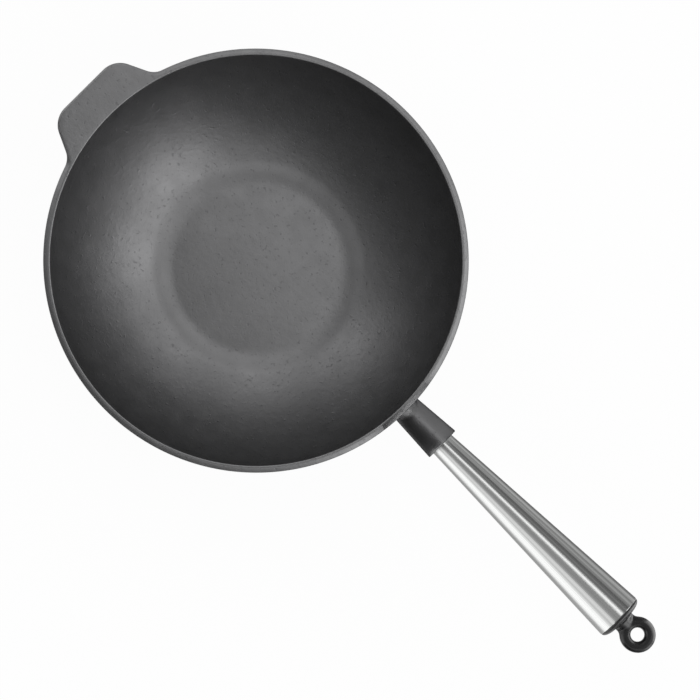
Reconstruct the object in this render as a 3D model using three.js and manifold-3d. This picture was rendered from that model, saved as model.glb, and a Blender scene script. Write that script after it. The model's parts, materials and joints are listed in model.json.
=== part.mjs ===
// A flat-bottomed iron wok. The bowl, its pull tab and the socket for the handle are one casting. A tie rod
// screwed into the casting runs through a hollow steel handle, and an eye nut on its end clamps the handle.
// Millimetres, +Z up. The origin is the middle of the flat underside, the handle points along +X and the
// tab along -X.

import * as THREE from "three";
import { mergeVertices } from "three/addons/utils/BufferGeometryUtils.js";
import Module from "manifold-3d";

const wasm = await Module();
wasm.setup();

// Bowl
const RIM_RADIUS = 150; // widest radius of the rim
const BOWL_HEIGHT = 92; // underside of the base to the top of the rim
const BASE_RADIUS = 64; // flat underside
const WALL = 4.8; // side wall, square to its surface
const FLOOR = 5.5; // thickness of the floor at its edge
const FLOOR_CROWN = 1.6; // rise of the floor from its edge to its middle
const FLOOR_FILLET = 26; // soft valley between the floor and the wall
const RIM_OUTER_EDGE = 2.2; // rounding of the rim outside, which the tab's edges share
const RIM_INNER_EDGE = 0.9; // rounding of the rim inside

// Pull tab
const TAB_REACH = 21.3; // from the rim to the tab's outer edge
const TAB_WIDTH = 59.8; // along the outer edge, between the corners before they are rounded
const TAB_ROOT_WIDTH = 85.8; // where the flanks meet the rim before they are filleted
const TAB_THICKNESS = 6.5;
const TAB_CORNER = 17; // rounding of the outer corners
const TAB_FILLET = 14; // fillets between the flanks and the rim
const TAB_SINK = 14; // how far the tab's root runs in behind the rim

// Socket. Lengths along the handle's axis start where the axis passes the widest radius of the rim.
const HANDLE_RISE = 5; // angle of the handle above level, in degrees
const SOCKET_DROP = 16.5; // axis below the top of the rim, at the rim's widest radius
const SOCKET_LENGTH = 35.6; // to the mouth
const SOCKET_ROOT_RADIUS = 10.6;
const SOCKET_MOUTH_RADIUS = 13.2;
const SOCKET_FILLET = 4.2; // flare where the socket grows out of the wall
const SOCKET_LIP = 0.7; // rounding of the mouth outside
const MOUTH_CHAMFER = 0.6; // lead-in of the mouth inside

// Handle shell
const NOSE_RADIUS = 9.2; // parallel end that is seated in the socket
const NOSE_DEPTH = 15;
const SHELL_LENGTH = 173; // from the socket's mouth to the rolled end
const SHELL_END_RADIUS = 17.7;
const SHELL_WALL = 1.2;
const SHELL_ROLL = 2.4; // outside radius of the rolled end
const SHELL_ROLL_TURN = 75; // how far the end is rolled in, in degrees

// End cap
const CAP_INSET = 1.4; // cap's edge inside the shell's largest radius
const CAP_EDGE = 0.5; // straight edge under the dome
const CAP_DOME = 3.6; // height of the dome
const CAP_FACE_RADIUS = 9.6; // flat that the eye is tightened against
const CAP_PLUG_LENGTH = 14;
const CAP_PLUG_WALL = 2; // skirt of the plug

// Hanging eye
const EYE_REACH = 13.9; // from the eye's seat to the middle of its ring
const EYE_RING_RADIUS = 12.75;
const EYE_HOLE_RADIUS = 5.15;
const EYE_THICKNESS = 8.4;
const EYE_EDGE = 2.2; // rounding of the ring's edges
const EYE_FILLET = 4; // fillets between the neck and the ring
const COLLAR_RADIUS = 8; // round neck
const COLLAR_LENGTH = 3; // straight part of the neck
const COLLAR_BLEND = 6; // length over which the neck rounds off into the ring
const SHANK_RADIUS = 6; // stub that sinks into the cap
const SHANK_LENGTH = 5.7;
const EYE_THREAD_DEPTH = 7; // blind thread, measured from the eye's seat

// Tie rod and the small pieces on it
const ROD_RADIUS = 3;
const ROD_GRIP = 12; // length screwed into the casting
const ROD_CHAMFER = 0.7;
const BUSH_LENGTH = 14;
const WASHER_RADIUS = 6;
const WASHER_THICKNESS = 1.6;
const SPRING_RADIUS = 5.7;
const SPRING_THICKNESS = 1.8;
const SPRING_SPLIT = 1.4; // width of the gap in the spring washer

const CLEARANCE = 0.3; // between pieces that fit in or seat on each other
const OVERRUN = 5; // how far a cut runs past the face it opens
const WALL_SINK = 2; // how far the socket's root is sunk into the wall

// Facets
const BOWL_FACETS = 90;
const WALL_STEPS = 9;
const HANDLE_FACETS = 48;
const SMALL_FACETS = 32;
const ROUND_STEPS = 3; // on a small rounding
const BROAD_STEPS = 5; // on a broad one
const MERGE_DISTANCE = 1e-4;

// Places along the handle's axis, from the rim outwards
const mouth = SOCKET_LENGTH;
const noseEnd = mouth - NOSE_DEPTH;
const socketFloor = noseEnd - CLEARANCE;
const rodHoleEnd = socketFloor - ROD_GRIP;
const shellEnd = mouth + SHELL_LENGTH;
const capSeat = shellEnd + CLEARANCE;
const capFace = capSeat + CAP_EDGE + CAP_DOME;
const eyeSeat = capFace + CLEARANCE;
const springTop = eyeSeat - SHANK_LENGTH - CLEARANCE;
const washerTop = springTop - SPRING_THICKNESS - CLEARANCE;
const counterboreFloor = washerTop - WASHER_THICKNESS - CLEARANCE;
const ringMiddle = eyeSeat + EYE_REACH;
const holeRadius = ROD_RADIUS + CLEARANCE;
const rollTurn = THREE.MathUtils.degToRad(SHELL_ROLL_TURN);
const rollStart = shellEnd - SHELL_ROLL * Math.sin(rollTurn);
const innerRoll = SHELL_ROLL - SHELL_WALL;

const point = (x, y) => new THREE.Vector2(x, y);

// The point at a distance from one point towards another.
function toward(from, to, distance) {
  return to.clone().sub(from).setLength(distance).add(from);
}

// Points along the shorter arc between two points that lie equally far from its middle.
function arc(middle, from, to, steps) {
  const start = Math.atan2(from.y - middle.y, from.x - middle.x);
  const end = Math.atan2(to.y - middle.y, to.x - middle.x);
  const sweep = Math.atan2(Math.sin(end - start), Math.cos(end - start));
  const radius = from.distanceTo(middle);
  const angles = Array.from({ length: steps + 1 }, (_, step) => start + (sweep * step) / steps);
  return angles.map((a) => point(middle.x + radius * Math.cos(a), middle.y + radius * Math.sin(a)));
}

// A corner of an outline, rounded.
function roundedCorner(before, corner, after, radius) {
  const back = before.clone().sub(corner).normalize();
  const on = after.clone().sub(corner).normalize();
  const half = Math.acos(back.dot(on)) / 2;
  const middle = toward(corner, corner.clone().add(back).add(on), radius / Math.sin(half));
  const tangent = radius / Math.tan(half);
  return arc(middle, toward(corner, before, tangent), toward(corner, after, tangent), BROAD_STEPS);
}

// A fillet from a straight edge to a circle round the origin. The edge runs from a start point towards the
// circle, and its open side is given as a direction.
function filletToCircle(start, along, open, circleRadius, radius) {
  const offset = start.clone().addScaledVector(open, radius);
  const ahead = offset.dot(along);
  const run = -ahead - Math.sqrt(ahead ** 2 - offset.lengthSq() + (circleRadius + radius) ** 2);
  const middle = offset.clone().addScaledVector(along, run);
  const onEdge = middle.clone().addScaledVector(open, -radius);
  const onCircle = middle.clone().setLength(circleRadius);
  return arc(middle, onEdge, onCircle, ROUND_STEPS);
}

const mirrored = (points) => points.map((p) => point(p.x, -p.y)).reverse();

// A closed geometry as a solid that can be joined and cut.
function solidOf(geometry) {
  const bare = geometry.index ? geometry.toNonIndexed() : geometry.clone();
  bare.deleteAttribute("normal");
  bare.deleteAttribute("uv");
  const merged = mergeVertices(bare, MERGE_DISTANCE);
  const vertProperties = new Float32Array(merged.getAttribute("position").array);
  const triVerts = new Uint32Array(merged.index.array);
  return new wasm.Manifold(new wasm.Mesh({ numProp: 3, vertProperties, triVerts }));
}

function geometryOf(solid) {
  const { vertProperties, triVerts } = solid.getMesh();
  const geometry = new THREE.BufferGeometry();
  geometry.setAttribute("position", new THREE.BufferAttribute(vertProperties, 3));
  geometry.setIndex(new THREE.BufferAttribute(triVerts, 1));
  geometry.computeVertexNormals();
  return geometry;
}

// Profiles run anticlockwise, with the radius as x. The bowl turns about Z, the handle's pieces about X.
const revolved = (profile) => new THREE.LatheGeometry(profile, BOWL_FACETS).rotateX(Math.PI / 2);
const turned = (profile, facets) => new THREE.LatheGeometry(profile, facets).rotateZ(-Math.PI / 2);
const closed = (profile) => [...profile, profile[0]];

// A plain round solid on the handle's axis, for pins, holes and counterbores.
function turnedDisc(from, to, radius, facets) {
  return turned([point(0, from), point(radius, from), point(radius, to), point(0, to)], facets);
}

// A ring on the handle's axis.
function turnedRing(from, to, inner, outer, facets) {
  const corners = [point(inner, from), point(outer, from), point(outer, to), point(inner, to)];
  return turned(closed(corners), facets);
}

// The outside of the bowl is part of a sphere through the edge of the base that touches the rim's rounding.
function wallSphere() {
  const across = RIM_RADIUS - RIM_OUTER_EDGE;
  const up = BOWL_HEIGHT - RIM_OUTER_EDGE;
  const k = across ** 2 + up ** 2 - BASE_RADIUS ** 2 - RIM_OUTER_EDGE ** 2;
  const a = up ** 2 - RIM_OUTER_EDGE ** 2;
  const b = -up * k;
  const c = k ** 2 / 4 - (RIM_OUTER_EDGE * BASE_RADIUS) ** 2;
  const height = (-b + Math.sqrt(b ** 2 - 4 * a * c)) / (2 * a);
  return { middle: point(0, height), outer: Math.hypot(BASE_RADIUS, height) };
}

const sphere = wallSphere();
const innerRadius = sphere.outer - WALL;

// The casting's outside: flat base, spherical wall and the rim's outer rounding.
function bowlOutside() {
  const edge = point(RIM_RADIUS - RIM_OUTER_EDGE, BOWL_HEIGHT - RIM_OUTER_EDGE);
  const wallTop = toward(sphere.middle, edge, sphere.outer);
  const rimTop = point(edge.x, BOWL_HEIGHT);
  return [
    point(0, 0),
    ...arc(sphere.middle, point(BASE_RADIUS, 0), wallTop, WALL_STEPS),
    ...arc(edge, wallTop, rimTop, ROUND_STEPS).slice(1),
    point(0, BOWL_HEIGHT),
  ];
}

// The hollow: crowned floor, soft valley, spherical wall and the rim's inner rounding.
function bowlInside() {
  const floorEdge = point(Math.sqrt(innerRadius ** 2 - (sphere.middle.y - FLOOR) ** 2), FLOOR);
  const crownRadius = (floorEdge.x ** 2 + FLOOR_CROWN ** 2) / (2 * FLOOR_CROWN);
  const crownMiddle = point(0, FLOOR + FLOOR_CROWN - crownRadius);

  const toWall = innerRadius - FLOOR_FILLET;
  const toCrown = crownRadius + FLOOR_FILLET;
  const apart = sphere.middle.y - crownMiddle.y;
  const valleyUp = (toCrown ** 2 - toWall ** 2 + apart ** 2) / (2 * apart);
  const valley = point(Math.sqrt(toCrown ** 2 - valleyUp ** 2), crownMiddle.y + valleyUp);
  const floorStop = toward(crownMiddle, valley, crownRadius);
  const wallFoot = toward(sphere.middle, valley, innerRadius);

  const edgeUp = BOWL_HEIGHT - RIM_INNER_EDGE;
  const edgeOut = Math.sqrt((innerRadius + RIM_INNER_EDGE) ** 2 - (sphere.middle.y - edgeUp) ** 2);
  const edge = point(edgeOut, edgeUp);
  const wallTop = toward(sphere.middle, edge, innerRadius);
  return [
    ...arc(crownMiddle, point(0, FLOOR + FLOOR_CROWN), floorStop, ROUND_STEPS),
    ...arc(valley, floorStop, wallFoot, BROAD_STEPS).slice(1),
    ...arc(sphere.middle, wallFoot, wallTop, WALL_STEPS).slice(1),
    ...arc(edge, wallTop, point(edge.x, BOWL_HEIGHT), ROUND_STEPS).slice(1),
    point(edge.x, BOWL_HEIGHT + OVERRUN),
    point(0, BOWL_HEIGHT + OVERRUN),
  ];
}

// The pull tab, drawn with its axis along x and turned to face away from the handle. Its root runs in
// behind the rim, where the hollow cuts it off.
function pullTab() {
  const outerCorner = point(RIM_RADIUS + TAB_REACH, TAB_WIDTH / 2);
  const rootHalf = TAB_ROOT_WIDTH / 2;
  const root = point(Math.sqrt(RIM_RADIUS ** 2 - rootHalf ** 2), rootHalf);
  const along = root.clone().sub(outerCorner).normalize();
  const open = point(along.y, -along.x);
  const fillet = filletToCircle(outerCorner, along, open, RIM_RADIUS, TAB_FILLET);
  const behindRim = fillet.at(-1).clone().setLength(RIM_RADIUS - TAB_SINK);
  const half = [
    ...roundedCorner(point(outerCorner.x, 0), outerCorner, root, TAB_CORNER),
    ...fillet,
    behindRim,
  ];
  const outline = new THREE.Shape([...mirrored(half), ...half]);
  const tab = new THREE.ExtrudeGeometry(outline, {
    depth: TAB_THICKNESS - 2 * RIM_OUTER_EDGE,
    bevelThickness: RIM_OUTER_EDGE,
    bevelSize: RIM_OUTER_EDGE,
    bevelOffset: -RIM_OUTER_EDGE,
    bevelSegments: ROUND_STEPS,
  });
  tab.translate(0, 0, BOWL_HEIGHT - TAB_THICKNESS + RIM_OUTER_EDGE);
  return tab.rotateZ(Math.PI);
}

// The handle's own axes, seen from the side: along the axis and square to it.
const rise = THREE.MathUtils.degToRad(HANDLE_RISE);
const axisDirection = point(Math.cos(rise), Math.sin(rise));
const axisUp = point(-Math.sin(rise), Math.cos(rise));
const axisStart = point(RIM_RADIUS, BOWL_HEIGHT - SOCKET_DROP);
const handlePlace = new THREE.Matrix4().makeRotationY(-rise).setPosition(axisStart.x, 0, axisStart.y);

// Where a line beside the handle's axis, so far across and so far up from it, leaves the bowl's wall.
function wallAt(across, up) {
  const offset = axisStart.clone().addScaledVector(axisUp, up).sub(sphere.middle);
  const along = offset.dot(axisDirection);
  return -along + Math.sqrt(along ** 2 - offset.lengthSq() - across ** 2 + sphere.outer ** 2);
}

// The socket is turned on the handle's axis, then its root is leaned to follow the sloping wall.
function socketOutside() {
  const wall = wallAt(0, 0);
  const flareRadius = SOCKET_ROOT_RADIUS + SOCKET_FILLET;
  const flareEnd = wall + SOCKET_FILLET;
  const lipStart = mouth - SOCKET_LIP;
  const lipMiddle = point(SOCKET_MOUTH_RADIUS - SOCKET_LIP, lipStart);
  const socket = turned(
    [
      point(0, wall - WALL_SINK),
      point(flareRadius, wall - WALL_SINK),
      ...arc(
        point(flareRadius, flareEnd),
        point(flareRadius, wall),
        point(SOCKET_ROOT_RADIUS, flareEnd),
        ROUND_STEPS,
      ),
      ...arc(lipMiddle, point(SOCKET_MOUTH_RADIUS, lipStart), point(lipMiddle.x, mouth), ROUND_STEPS),
      point(0, mouth),
    ],
    HANDLE_FACETS,
  );
  const places = socket.getAttribute("position");
  for (let i = 0; i < places.count; i += 1) {
    const share = THREE.MathUtils.clamp((lipStart - places.getX(i)) / (lipStart - flareEnd), 0, 1);
    const lean = wallAt(places.getY(i), places.getZ(i)) - wall;
    places.setX(i, places.getX(i) + lean * share);
  }
  return socket;
}

// The socket's bore: a lead-in at the mouth, a seat for the shell's nose and a blind hole for the rod.
function socketBore() {
  const bore = NOSE_RADIUS + CLEARANCE;
  const wide = bore + MOUTH_CHAMFER;
  return turned(
    [
      point(0, rodHoleEnd),
      point(holeRadius, rodHoleEnd),
      point(holeRadius, socketFloor),
      point(bore, socketFloor),
      point(bore, mouth - MOUTH_CHAMFER),
      point(wide, mouth),
      point(wide, mouth + OVERRUN),
      point(0, mouth + OVERRUN),
    ],
    HANDLE_FACETS,
  );
}

function wokBody() {
  const onAxis = (geometry) => solidOf(geometry.applyMatrix4(handlePlace));
  return solidOf(revolved(bowlOutside()))
    .add(solidOf(pullTab()))
    .add(onAxis(socketOutside()))
    .subtract(solidOf(revolved(bowlInside())))
    .subtract(onAxis(socketBore()));
}

// Edge of the rolled end, on an arc of a given radius about the middle of the roll.
function onRoll(radius) {
  const across = SHELL_END_RADIUS - SHELL_ROLL + radius * Math.cos(rollTurn);
  return point(across, rollStart + radius * Math.sin(rollTurn));
}

// The tube: parallel nose, long taper and an end rolled in towards the axis, with one wall thickness.
function handleShell() {
  const rollMiddle = point(SHELL_END_RADIUS - SHELL_ROLL, rollStart);
  const profile = [
    point(NOSE_RADIUS - SHELL_WALL, noseEnd),
    point(NOSE_RADIUS, noseEnd),
    point(NOSE_RADIUS, mouth),
    ...arc(rollMiddle, point(SHELL_END_RADIUS, rollStart), onRoll(SHELL_ROLL), ROUND_STEPS),
    ...arc(rollMiddle, onRoll(innerRoll), point(SHELL_END_RADIUS - SHELL_WALL, rollStart), ROUND_STEPS),
    point(NOSE_RADIUS - SHELL_WALL, mouth),
  ];
  return solidOf(turned(closed(profile), HANDLE_FACETS));
}

// The cap: a hollow plug inside the tube, a domed flange over its end and a counterbore for the eye's shank.
function endCap() {
  const plugRadius = onRoll(innerRoll).x - CLEARANCE;
  const flangeRadius = SHELL_END_RADIUS - CAP_INSET;
  const domeStart = capSeat + CAP_EDGE;
  const plugEnd = capSeat - CAP_PLUG_LENGTH;
  const boreRadius = WASHER_RADIUS + CLEARANCE;
  const hubRadius = boreRadius + CAP_PLUG_WALL;
  const hubFloor = counterboreFloor - CAP_PLUG_WALL;
  const dome = Array.from({ length: ROUND_STEPS + 1 }, (_, step) => {
    const turn = ((Math.PI / 2) * step) / ROUND_STEPS;
    const radius = CAP_FACE_RADIUS + (flangeRadius - CAP_FACE_RADIUS) * Math.cos(turn);
    return point(radius, domeStart + CAP_DOME * Math.sin(turn));
  });
  const profile = [
    point(holeRadius, hubFloor),
    point(hubRadius, hubFloor),
    point(hubRadius, capSeat - CAP_PLUG_WALL),
    point(plugRadius - CAP_PLUG_WALL, capSeat - CAP_PLUG_WALL),
    point(plugRadius - CAP_PLUG_WALL, plugEnd),
    point(plugRadius, plugEnd),
    point(plugRadius, capSeat),
    point(flangeRadius, capSeat),
    ...dome,
    point(boreRadius, capFace),
    point(boreRadius, counterboreFloor),
    point(holeRadius, counterboreFloor),
  ];
  return solidOf(turned(closed(profile), HANDLE_FACETS));
}

// Outline of the eye from above, with the middle of the ring as origin and the neck along +x.
function eyeOutline() {
  const neckEnd = point(EYE_REACH - COLLAR_LENGTH / 2, COLLAR_RADIUS);
  const fillet = filletToCircle(neckEnd, point(-1, 0), point(0, 1), EYE_RING_RADIUS, EYE_FILLET);
  const outline = new THREE.Shape();
  outline.moveTo(neckEnd.x, -neckEnd.y);
  outline.lineTo(neckEnd.x, neckEnd.y);
  fillet.forEach((p) => outline.lineTo(p.x, p.y));
  const angle = fillet.at(-1).angle();
  outline.absarc(0, 0, EYE_RING_RADIUS, angle, 2 * Math.PI - angle, false);
  mirrored(fillet).forEach((p) => outline.lineTo(p.x, p.y));
  outline.closePath();
  outline.holes.push(new THREE.Path().absarc(0, 0, EYE_HOLE_RADIUS, 0, 2 * Math.PI, true));
  return outline;
}

function hangingEye() {
  const ring = new THREE.ExtrudeGeometry(eyeOutline(), {
    depth: EYE_THICKNESS - 2 * EYE_EDGE,
    bevelThickness: EYE_EDGE,
    bevelSize: EYE_EDGE,
    bevelOffset: -EYE_EDGE,
    bevelSegments: ROUND_STEPS,
    curveSegments: SMALL_FACETS / 2,
  });
  ring.translate(0, 0, EYE_EDGE - EYE_THICKNESS / 2);
  ring.rotateZ(Math.PI).translate(ringMiddle, 0, 0);

  const blendStart = eyeSeat + COLLAR_LENGTH;
  const tipRadius = EYE_THICKNESS / 2 - EYE_EDGE;
  const blend = Array.from({ length: ROUND_STEPS + 1 }, (_, step) => {
    const turn = ((Math.PI / 2) * step) / ROUND_STEPS;
    const radius = tipRadius + (COLLAR_RADIUS - tipRadius) * Math.cos(turn);
    return point(radius, blendStart + COLLAR_BLEND * Math.sin(turn));
  });
  const neck = turned(
    [
      point(0, eyeSeat - SHANK_LENGTH),
      point(SHANK_RADIUS, eyeSeat - SHANK_LENGTH),
      point(SHANK_RADIUS, eyeSeat),
      point(COLLAR_RADIUS, eyeSeat),
      ...blend,
      point(0, blendStart + COLLAR_BLEND),
    ],
    SMALL_FACETS,
  );
  const holeLength = EYE_THICKNESS + 2 * OVERRUN;
  const hole = new THREE.CylinderGeometry(EYE_HOLE_RADIUS, EYE_HOLE_RADIUS, holeLength, SMALL_FACETS);
  hole.rotateX(Math.PI / 2).translate(ringMiddle, 0, 0);
  const thread = turnedDisc(eyeSeat - SHANK_LENGTH - OVERRUN, eyeSeat + EYE_THREAD_DEPTH, holeRadius, SMALL_FACETS);
  return solidOf(ring).add(solidOf(neck)).subtract(solidOf(hole)).subtract(solidOf(thread));
}

function tieRod() {
  const from = rodHoleEnd + CLEARANCE;
  const to = eyeSeat + EYE_THREAD_DEPTH - CLEARANCE;
  const tip = ROD_RADIUS - ROD_CHAMFER;
  const profile = [
    point(0, from),
    point(tip, from),
    point(ROD_RADIUS, from + ROD_CHAMFER),
    point(ROD_RADIUS, to - ROD_CHAMFER),
    point(tip, to),
    point(0, to),
  ];
  return solidOf(turned(profile, SMALL_FACETS));
}

function noseBush() {
  const outer = NOSE_RADIUS - SHELL_WALL - CLEARANCE;
  return solidOf(turnedRing(noseEnd, noseEnd + BUSH_LENGTH, holeRadius, outer, SMALL_FACETS));
}

function flatWasher() {
  return solidOf(turnedRing(washerTop - WASHER_THICKNESS, washerTop, holeRadius, WASHER_RADIUS, SMALL_FACETS));
}

// A ring with a gap, pressed flat as it is when the eye is tight.
function springWasher() {
  const gap = Math.asin(SPRING_SPLIT / 2 / holeRadius);
  const outline = new THREE.Shape();
  outline.absarc(0, 0, SPRING_RADIUS, gap, 2 * Math.PI - gap, false);
  outline.absarc(0, 0, holeRadius, 2 * Math.PI - gap, gap, true);
  outline.closePath();
  const washer = new THREE.ExtrudeGeometry(outline, {
    depth: SPRING_THICKNESS,
    bevelEnabled: false,
    curveSegments: SMALL_FACETS / 2,
  });
  return solidOf(washer.rotateY(Math.PI / 2).translate(springTop - SPRING_THICKNESS, 0, 0));
}

function piece(name, solid, color, roughness, metalness) {
  const material = new THREE.MeshStandardMaterial({ color, roughness, metalness });
  const mesh = new THREE.Mesh(geometryOf(solid), material);
  mesh.name = name;
  return mesh;
}

const handle = new THREE.Group();
handle.applyMatrix4(handlePlace);
handle.add(
  piece("handle_shell", handleShell(), 0xc8cacb, 0.28, 1),
  piece("nose_bush", noseBush(), 0xa9acad, 0.4, 1),
  piece("end_cap", endCap(), 0x1b1b1d, 0.45, 0),
  piece("tie_rod", tieRod(), 0xb4b7ba, 0.35, 1),
  piece("flat_washer", flatWasher(), 0xb4b7ba, 0.35, 1),
  piece("spring_washer", springWasher(), 0x9b9da0, 0.4, 1),
  piece("hanging_eye", hangingEye(), 0x26262a, 0.5, 0.3),
);

const wok = new THREE.Group();
wok.add(piece("wok_body", wokBody(), 0x3c3c3e, 0.55, 0.6), handle);

export default wok;
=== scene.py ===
# %% [markdown]
# # An iron wok, made piece by piece
# A measured model of a wok comes with this lesson: an iron bowl cast in one with its pull tab and its
# handle socket, a hollow steel handle, and the small parts that clamp the handle in place. The model
# fixes every size and every joint, but its surfaces are flat facets. Here each part is made again in the
# same place, with smooth surfaces and the finish of the real thing.

# %% Load the measured model
import json
import math

import bpy
import numpy as np
from mathutils import Matrix, Vector


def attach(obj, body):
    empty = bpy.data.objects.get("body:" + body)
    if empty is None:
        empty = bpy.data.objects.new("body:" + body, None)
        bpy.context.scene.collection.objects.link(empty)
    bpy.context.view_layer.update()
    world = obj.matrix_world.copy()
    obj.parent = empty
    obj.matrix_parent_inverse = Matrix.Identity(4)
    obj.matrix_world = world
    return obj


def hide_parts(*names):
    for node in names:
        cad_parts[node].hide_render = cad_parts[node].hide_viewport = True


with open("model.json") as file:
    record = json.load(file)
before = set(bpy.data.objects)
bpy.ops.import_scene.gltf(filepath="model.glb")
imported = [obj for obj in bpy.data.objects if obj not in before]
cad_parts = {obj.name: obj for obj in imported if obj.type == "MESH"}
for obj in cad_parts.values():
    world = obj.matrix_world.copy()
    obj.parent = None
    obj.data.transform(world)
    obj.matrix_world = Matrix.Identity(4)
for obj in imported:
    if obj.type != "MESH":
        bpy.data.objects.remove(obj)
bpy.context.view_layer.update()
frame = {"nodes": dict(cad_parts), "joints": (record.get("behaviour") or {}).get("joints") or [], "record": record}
bpy.ops.object.select_all(action="DESELECT")
print("measured parts:", ", ".join(sorted(frame["nodes"])))

# %% [markdown]
# ## The camera
# The wok is seen from a metre and a half above, through a long lens, so there is hardly any perspective.
# The picture is turned by 45 degrees, which lays the handle from the middle to the lower right. The
# camera could be aimed with a tracking constraint, but a fixed place and turn keep the view the same in
# every run.

# %% Camera
CAMERA_PLACE = (0.0771, -0.0820, 1.500)
CAMERA_TILT = math.radians(3.36)
CAMERA_LEAN = math.radians(-0.58)
CAMERA_ROLL = math.radians(44.59)
CAMERA_LENS = 102.9
bpy.ops.object.camera_add(location=CAMERA_PLACE)
camera = bpy.context.object
camera.name = "camera"
aim = Matrix.Rotation(CAMERA_LEAN, 3, "Y") @ Matrix.Rotation(CAMERA_TILT, 3, "X")
camera.rotation_euler = (aim @ Matrix.Rotation(CAMERA_ROLL, 3, "Z")).to_euler()
camera.data.lens = CAMERA_LENS
bpy.context.scene.camera = camera
bpy.context.scene.view_settings.view_transform = "Standard"
print("camera lens", CAMERA_LENS, "mm at", CAMERA_PLACE)

# %% [markdown]
# ## The floor
# The wok stands on plain white paper. Paper that is only lit would come out grey wherever the light falls
# off, so most of its white is given to camera, mirror and glass rays directly, with the Light Path node.
# The rest of it is still lit, which keeps a faint shadow under the wok.

# %% Helpers for nodes
def bare_tree(name):
    """A new material, its emptied nodes and their links."""
    material = bpy.data.materials.new(name)
    material.use_nodes = True
    material.node_tree.nodes.clear()
    return material, material.node_tree.nodes, material.node_tree.links


def add_math(tree, operation, first, second):
    """A Math node, fed by a socket and by a number or another socket."""
    node = tree.nodes.new("ShaderNodeMath")
    node.operation = operation
    tree.links.new(first, node.inputs[0])
    if isinstance(second, (int, float)):
        node.inputs[1].default_value = second
    else:
        tree.links.new(second, node.inputs[1])
    return node.outputs[0]


def add_vector(tree, operation, first, second=(0.0, 0.0, 0.0)):
    """A Vector Math node, fed by a socket and by a fixed vector."""
    node = tree.nodes.new("ShaderNodeVectorMath")
    node.operation = operation
    tree.links.new(first, node.inputs[0])
    node.inputs[1].default_value = second
    return node


print("node helpers ready")

# %% Floor
FLOOR_SIZE = 24.0
PAPER_GLOW = 0.96
bpy.ops.mesh.primitive_plane_add(size=FLOOR_SIZE)
floor = bpy.context.object
floor.name = "paper_floor"
paper, paper_nodes, paper_links = bare_tree("white_paper")
lit = paper_nodes.new("ShaderNodeBsdfDiffuse")
lit.inputs["Color"].default_value = (0.9, 0.9, 0.9, 1.0)
glow = paper_nodes.new("ShaderNodeEmission")
rays = paper_nodes.new("ShaderNodeLightPath")
seen = add_math(paper.node_tree, "MAXIMUM", rays.outputs["Is Camera Ray"], rays.outputs["Is Glossy Ray"])
seen = add_math(paper.node_tree, "MAXIMUM", seen, rays.outputs["Is Transmission Ray"])
glow_share = add_math(paper.node_tree, "MULTIPLY", seen, PAPER_GLOW)
mix = paper_nodes.new("ShaderNodeMixShader")
paper_links.new(glow_share, mix.inputs["Fac"])
paper_links.new(lit.outputs[0], mix.inputs[1])
paper_links.new(glow.outputs[0], mix.inputs[2])
sheet_out = paper_nodes.new("ShaderNodeOutputMaterial")
paper_links.new(mix.outputs[0], sheet_out.inputs["Surface"])
floor.data.materials.append(paper)
print("floor", FLOOR_SIZE, "m across")

# %% [markdown]
# ## The light
# A dark glossy bowl shows the studio more than its own colour, so the studio is built from what each wall
# has to show. The world holds broad soft glows like large diffusers round the table, each set by its
# turn, its height and its strength. Lamps could do the same, but a glow has no edge that the iron could
# mirror.

# %% World
GLOW_TIGHTNESS = 20
GLOWS = [
    (0, 8, 1.75), (180, 8, 1.6), (0, 25, 2.8), (45, 25, 2.95), (90, 25, 1.9),
    (135, 25, 1.55), (180, 25, 1.3), (135, 45, 0.5), (225, 45, 0.8), (315, 45, 1.25),
    (270, 48, 0.55), (305, 72, 0.34), (45, 55, 0.2), (90, 55, 0.35), (135, 55, 0.12),
]
world = bpy.data.worlds.new("studio")
bpy.context.scene.world = world
world.use_nodes = True
direction = world.node_tree.nodes.new("ShaderNodeTexCoord")
total = None
for turn, height, strength in GLOWS:
    level = math.cos(math.radians(height))
    x, y = level * math.cos(math.radians(turn)), level * math.sin(math.radians(turn))
    middle = (x, y, math.sin(math.radians(height)))
    facing = add_vector(world.node_tree, "DOT_PRODUCT", direction.outputs["Generated"], middle)
    lit_side = add_math(world.node_tree, "MAXIMUM", facing.outputs["Value"], 0.0)
    falloff = add_math(world.node_tree, "POWER", lit_side, GLOW_TIGHTNESS)
    glow_here = add_math(world.node_tree, "MULTIPLY", falloff, strength)
    total = add_math(world.node_tree, "ADD", glow_here, total) if total else glow_here
background = world.node_tree.nodes["Background"]
world.node_tree.links.new(total, background.inputs["Color"])
print(len(GLOWS), "glows in the world")

# %% [markdown]
# ## The overhead strip
# A long soft strip hangs above the table, a little to one side of the camera. It lights the floor of the
# bowl and draws the thin bright line down the steel. A glow could light the floor too, but the line needs
# straight edges.

# %% Overhead strip
STRIP_PLACE = (0.1, 0.275, 1.45)
STRIP_TILT = math.radians(-9)
STRIP_SIZE = (1.9, 0.5)
STRIP_RADIANCE = 1.32
bpy.ops.object.light_add(type="AREA", location=STRIP_PLACE, rotation=(STRIP_TILT, 0, 0))
strip = bpy.context.object
strip.name = "overhead_strip"
strip.data.shape = "RECTANGLE"
strip.data.size, strip.data.size_y = STRIP_SIZE
strip.data.energy = STRIP_RADIANCE * math.pi * STRIP_SIZE[0] * STRIP_SIZE[1]
strip.visible_camera = False
print(f"overhead strip of {strip.data.energy:.2f} W")

# %% [markdown]
# ## Sizes that the pieces share
# The eye turns on the handle's axis, so the joint of the measured model gives that axis exactly. Lengths
# along the handle are counted from the place where the axis passes the widest radius of the rim.

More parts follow.
